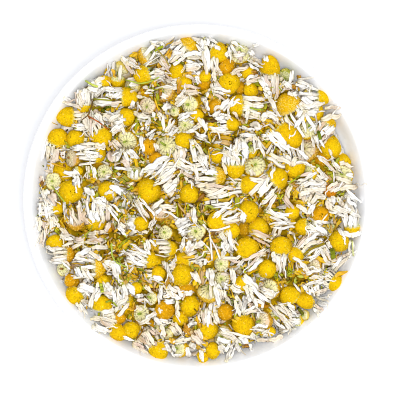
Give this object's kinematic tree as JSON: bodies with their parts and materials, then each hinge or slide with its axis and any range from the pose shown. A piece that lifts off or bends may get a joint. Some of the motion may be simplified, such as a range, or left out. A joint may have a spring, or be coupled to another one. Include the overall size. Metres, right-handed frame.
{
  "type": "dish of dried chamomile flowers",
  "caption": "Round white glazed dish heaped full of loose dried chamomile flower heads with yellow discs and white petals; stands flat on a foot ring.",
  "frame": {"origin": "middle of the flat foot ring, on the surface that the dish stands on", "axes": "+Z up along the dish's axis; +X right and +Y up in a view straight down"},
  "size_m": [0.125, 0.125, 0.0409],
  "materials": {
    "glaze": "gloss",
    "packed_flowers": "matte",
    "flower_head": "matte"
  },
  "bodies": {
    "root": {"dish": "glaze", "flower_bed": "packed_flowers", "flower_head_01": "flower_head", "flower_head_02": "flower_head", "flower_head_03": "flower_head", "flower_head_04": "flower_head", "flower_head_05": "flower_head", "flower_head_06": "flower_head", "flower_head_07": "flower_head", "flower_head_08": "flower_head", "flower_head_09": "flower_head", "flower_head_10": "flower_head", "flower_head_11": "flower_head", "flower_head_12": "flower_head", "flower_head_13": "flower_head", "flower_head_14": "flower_head", "flower_head_15": "flower_head", "flower_head_16": "flower_head", "flower_head_17": "flower_head", "flower_head_18": "flower_head", "flower_head_19": "flower_head", "flower_head_20": "flower_head", "flower_head_21": "flower_head", "flower_head_22": "flower_head", "flower_head_23": "flower_head", "flower_head_24": "flower_head", "flower_head_25": "flower_head", "flower_head_26": "flower_head", "flower_head_27": "flower_head", "flower_head_28": "flower_head", "flower_head_29": "flower_head", "flower_head_30": "flower_head", "flower_head_31": "flower_head", "flower_head_32": "flower_head", "flower_head_33": "flower_head", "flower_head_34": "flower_head", "flower_head_35": "flower_head", "flower_head_36": "flower_head", "flower_head_37": "flower_head", "flower_head_38": "flower_head", "flower_head_39": "flower_head", "flower_head_40": "flower_head", "flower_head_41": "flower_head", "flower_head_42": "flower_head", "flower_head_43": "flower_head", "flower_head_44": "flower_head", "flower_head_45": "flower_head", "flower_head_46": "flower_head", "flower_head_47": "flower_head", "flower_head_48": "flower_head", "flower_head_49": "flower_head", "flower_head_50": "flower_head", "flower_head_51": "flower_head", "flower_head_52": "flower_head", "flower_head_53": "flower_head", "flower_head_54": "flower_head"}
  },
  "joints": []
}
